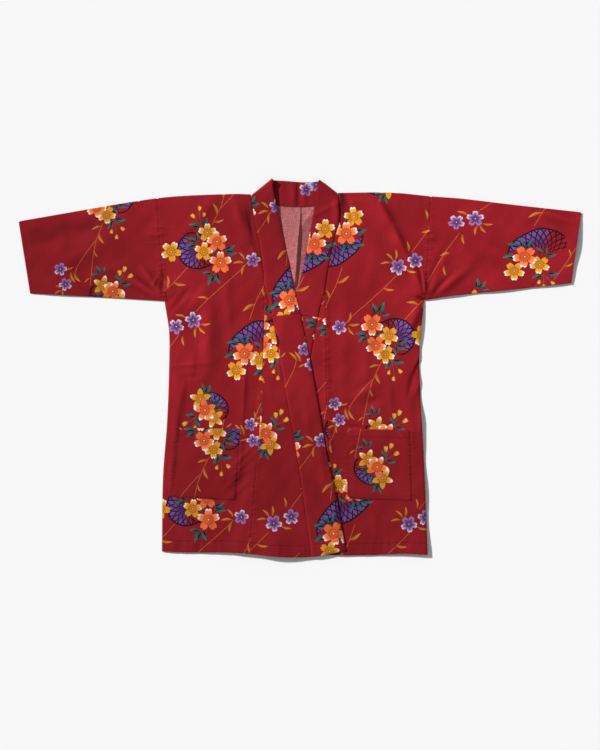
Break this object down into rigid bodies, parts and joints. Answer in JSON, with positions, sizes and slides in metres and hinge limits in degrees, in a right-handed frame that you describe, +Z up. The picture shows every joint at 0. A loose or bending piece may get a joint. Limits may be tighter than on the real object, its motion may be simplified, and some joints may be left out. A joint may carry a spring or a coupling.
{
  "type": "yukata",
  "caption": "Short printed cotton yukata laid flat, its right front lapped over the left one, with straight sleeves, a long collar band and patch pockets.",
  "frame": {"origin": "middle of the underside of the garment as it lies, on the surface that carries it", "axes": "+Z up from the surface, +Y from the hem towards the collar, +X from the wearer's right sleeve towards the left one"},
  "size_m": [1.3217, 0.8912, 0.0141],
  "materials": {
    "printed_cotton": "matt plain weave with a printed repeat"
  },
  "bodies": {
    "root": {"body_right": "printed_cotton", "body_left": "printed_cotton", "okumi_right": "printed_cotton", "okumi_left": "printed_cotton", "sleeve_right": "printed_cotton", "sleeve_left": "printed_cotton", "collar_neck": "printed_cotton", "collar_lower_right": "printed_cotton", "collar_lower_left": "printed_cotton", "pocket_right": "printed_cotton", "pocket_left": "printed_cotton"}
  },
  "joints": []
}
